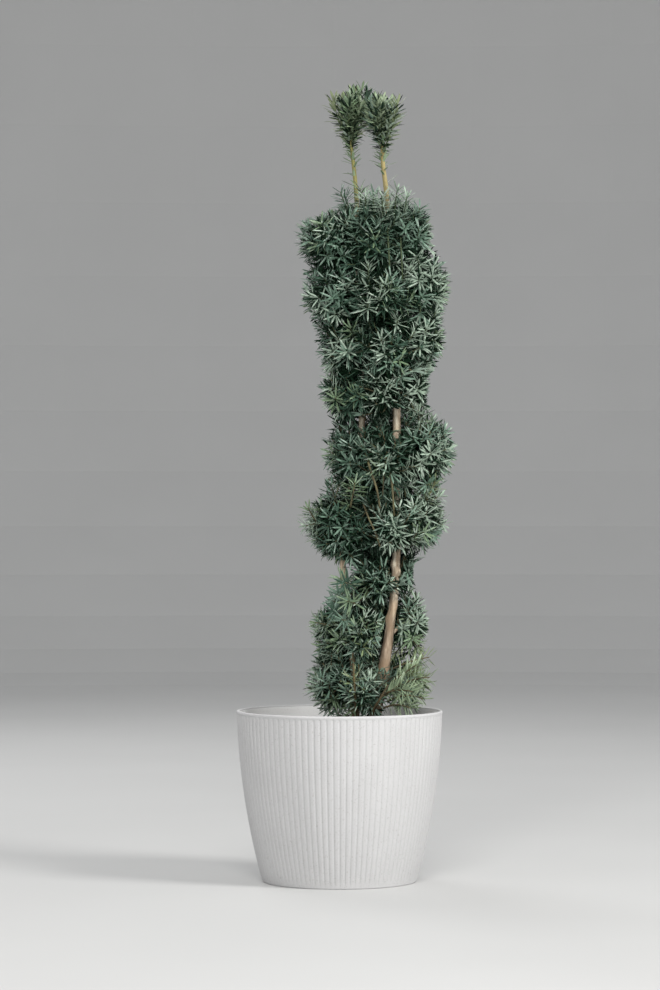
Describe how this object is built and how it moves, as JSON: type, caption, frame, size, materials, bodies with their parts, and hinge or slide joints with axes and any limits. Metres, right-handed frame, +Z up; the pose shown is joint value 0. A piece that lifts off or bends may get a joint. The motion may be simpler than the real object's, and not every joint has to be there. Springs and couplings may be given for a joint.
{
  "type": "potted spiral topiary",
  "caption": "Young needle-leaved evergreen clipped to a loose spiral round two twining stems, with two tufted leading shoots, in a round ribbed planter.",
  "frame": {"origin": "middle of the planter's flat underside", "axes": "+Z up along the planter's axis, +X to the right of the plant's best side, which faces -Y"},
  "size_m": [0.2056, 0.1904, 0.7407],
  "materials": {
    "planter": "matt pale grey plastic with faint grey-brown flecks and fine upright ribs",
    "compost": "crumbly dark brown compost",
    "bark": "pinkish brown flaky bark",
    "foliage": "satin dark blue-green needles"
  },
  "bodies": {
    "root": {"bough_belly_right": "bark", "bough_crown_right": "bark", "bough_lower_right": "bark", "bough_middle_right": "bark", "bough_neck_right": "bark", "bough_skirt_right": "bark", "bough_top_right": "bark", "bough_upper_right": "bark", "compost": "compost", "foliage_belly_back": "foliage", "foliage_belly_front": "foliage", "foliage_belly_left": "foliage", "foliage_belly_right": "foliage", "foliage_crown_back": "foliage", "foliage_crown_front": "foliage", "foliage_crown_left": "foliage", "foliage_crown_right": "foliage", "foliage_left_tuft": "foliage", "foliage_lower_back": "foliage", "foliage_lower_front": "foliage", "foliage_lower_left": "foliage", "foliage_lower_right": "foliage", "foliage_middle_back": "foliage", "foliage_middle_front": "foliage", "foliage_middle_left": "foliage", "foliage_middle_right": "foliage", "foliage_neck_back": "foliage", "foliage_neck_front": "foliage", "foliage_neck_left": "foliage", "foliage_neck_right": "foliage", "foliage_right_tuft": "foliage", "foliage_skirt_back": "foliage", "foliage_skirt_front": "foliage", "foliage_skirt_left": "foliage", "foliage_skirt_right": "foliage", "foliage_top_back": "foliage", "foliage_top_front": "foliage", "foliage_top_left": "foliage", "foliage_top_right": "foliage", "foliage_upper_back": "foliage", "foliage_upper_front": "foliage", "foliage_upper_left": "foliage", "foliage_upper_right": "foliage", "foliage_waist_back": "foliage", "foliage_waist_front": "foliage", "foliage_waist_right": "foliage", "planter": "planter", "second_stem": "bark", "trunk": "bark"}
  },
  "joints": []
}
